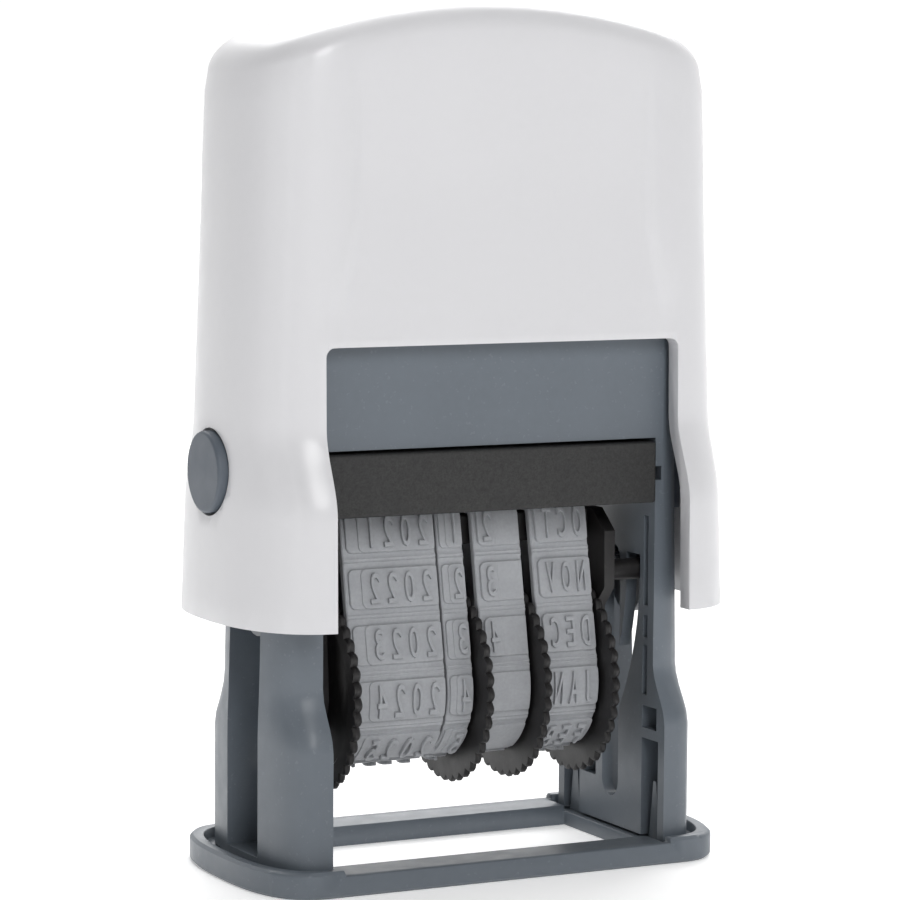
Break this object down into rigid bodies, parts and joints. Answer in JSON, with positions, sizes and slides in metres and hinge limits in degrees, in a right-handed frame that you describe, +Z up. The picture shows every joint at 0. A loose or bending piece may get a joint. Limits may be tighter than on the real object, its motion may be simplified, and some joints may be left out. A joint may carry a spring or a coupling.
{
  "type": "self inking date stamp",
  "caption": "Self-inking date stamp: a sprung cap slides down a frame and flips a dater with rubber date bands from the ink pad to the paper.",
  "frame": {"origin": "centre of the foot ring's underside, on the surface that the stamp stands on", "axes": "+Z up along the stroke, -Y towards the front window that the cartridge draws out of, +X to the right along the bands' axle"},
  "size_m": [0.0626, 0.032, 0.098],
  "materials": {
    "cap_white": "light grey-white moulded plastic, satin gloss",
    "frame_grey": "blue-grey moulded plastic, satin",
    "button_grey": "darker blue-grey moulded plastic",
    "yoke_grey": "mid grey moulded plastic",
    "cartridge_black": "near-black plastic with a fine spark-eroded grain",
    "dater_black": "black moulded plastic",
    "band_rubber": "grey moulded date rubber",
    "felt_ink": "ink-soaked felt",
    "spring_steel": "bright steel wire and pins"
  },
  "bodies": {
    "base": {"foot_ring": "frame_grey", "frame": "frame_grey", "return_spring": "spring_steel"},
    "cap": {"cap": "cap_white", "yoke": "yoke_grey", "axle_pin_left": "spring_steel", "axle_pin_right": "spring_steel", "axle_clip_left": "spring_steel", "axle_clip_right": "spring_steel"},
    "dater": {"cheek_left": "dater_black", "cheek_right": "dater_black", "type_bed": "dater_black", "wheel_spindle": "spring_steel", "band_year": "band_rubber", "band_units": "band_rubber", "band_tens": "band_rubber", "band_month": "band_rubber"},
    "cartridge": {"pad_cartridge": "cartridge_black", "ink_pad": "felt_ink"},
    "button_left": {"side_button_left": "button_grey"},
    "button_right": {"side_button_right": "button_grey"},
    "wheel_year": {"thumbwheel_year": "dater_black"},
    "wheel_units": {"thumbwheel_units": "dater_black"},
    "wheel_tens": {"thumbwheel_tens": "dater_black"},
    "wheel_month": {"thumbwheel_month": "dater_black"}
  },
  "joints": [
    {"name": "cap_slide", "type": "slide", "parent": "base", "child": "cap", "axis": [0, 0, -1], "range_m": [0, 0.024], "stiffness_N_per_m": 250, "springref_m": -0.02, "deforming": ["return_spring"]},
    {"name": "dater_flip", "type": "hinge", "parent": "cap", "child": "dater", "pos_m": [0, 0, 0.033], "axis": [1, 0, 0], "range_deg": [0, 180]},
    {"name": "cartridge_slide", "type": "slide", "parent": "base", "child": "cartridge", "axis": [0, -1, 0], "range_m": [0, 0.03]},
    {"name": "button_press_left", "type": "slide", "parent": "cap", "child": "button_left", "axis": [1, 0, 0], "range_m": [0, 0.0014], "stiffness_N_per_m": 800, "springref_m": -0.001},
    {"name": "button_press_right", "type": "slide", "parent": "cap", "child": "button_right", "axis": [-1, 0, 0], "range_m": [0, 0.0014], "stiffness_N_per_m": 800, "springref_m": -0.001},
    {"name": "year_turn", "type": "hinge", "parent": "dater", "child": "wheel_year", "pos_m": [-0.0178, 0, 0.0205], "axis": [1, 0, 0], "continuous": true},
    {"name": "units_turn", "type": "hinge", "parent": "dater", "child": "wheel_units", "pos_m": [-0.0012, 0, 0.0205], "axis": [1, 0, 0], "continuous": true},
    {"name": "tens_turn", "type": "hinge", "parent": "dater", "child": "wheel_tens", "pos_m": [0.0062, 0, 0.0205], "axis": [1, 0, 0], "continuous": true},
    {"name": "month_turn", "type": "hinge", "parent": "dater", "child": "wheel_month", "pos_m": [0.015, 0, 0.0205], "axis": [1, 0, 0], "continuous": true}
  ],
  "couplings": [
    {"joint": "dater_flip", "follows": "cap_slide", "rad_per_m": 130.9}
  ]
}
